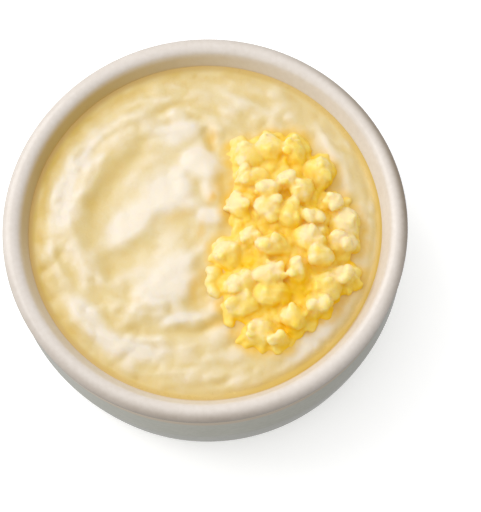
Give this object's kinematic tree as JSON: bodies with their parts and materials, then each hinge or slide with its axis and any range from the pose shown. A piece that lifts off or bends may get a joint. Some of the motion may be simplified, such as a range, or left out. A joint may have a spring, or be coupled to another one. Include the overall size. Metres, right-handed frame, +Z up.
{
  "type": "mashed potato side",
  "caption": "Small round glazed stoneware bowl filled nearly to its rolled lip with spooned mashed potato, a heap of buttery crumble over the right half.",
  "frame": {"origin": "on the bowl's axis, at the surface that its foot stands on", "axes": "+Z up along the bowl's axis, +X to the right towards the crumble, -Y towards the viewer"},
  "size_m": [0.12, 0.12, 0.0493],
  "materials": {
    "stoneware": "glossy cream glaze on the lip and inside, satin grey-green glaze on the outer wall, bare clay on the foot",
    "mash": "moist, creamy and slightly glossy where butter has melted",
    "crumble": "soft, moist and buttery"
  },
  "bodies": {
    "root": {"bowl": "stoneware", "mash": "mash", "crumble": "crumble"}
  },
  "joints": []
}
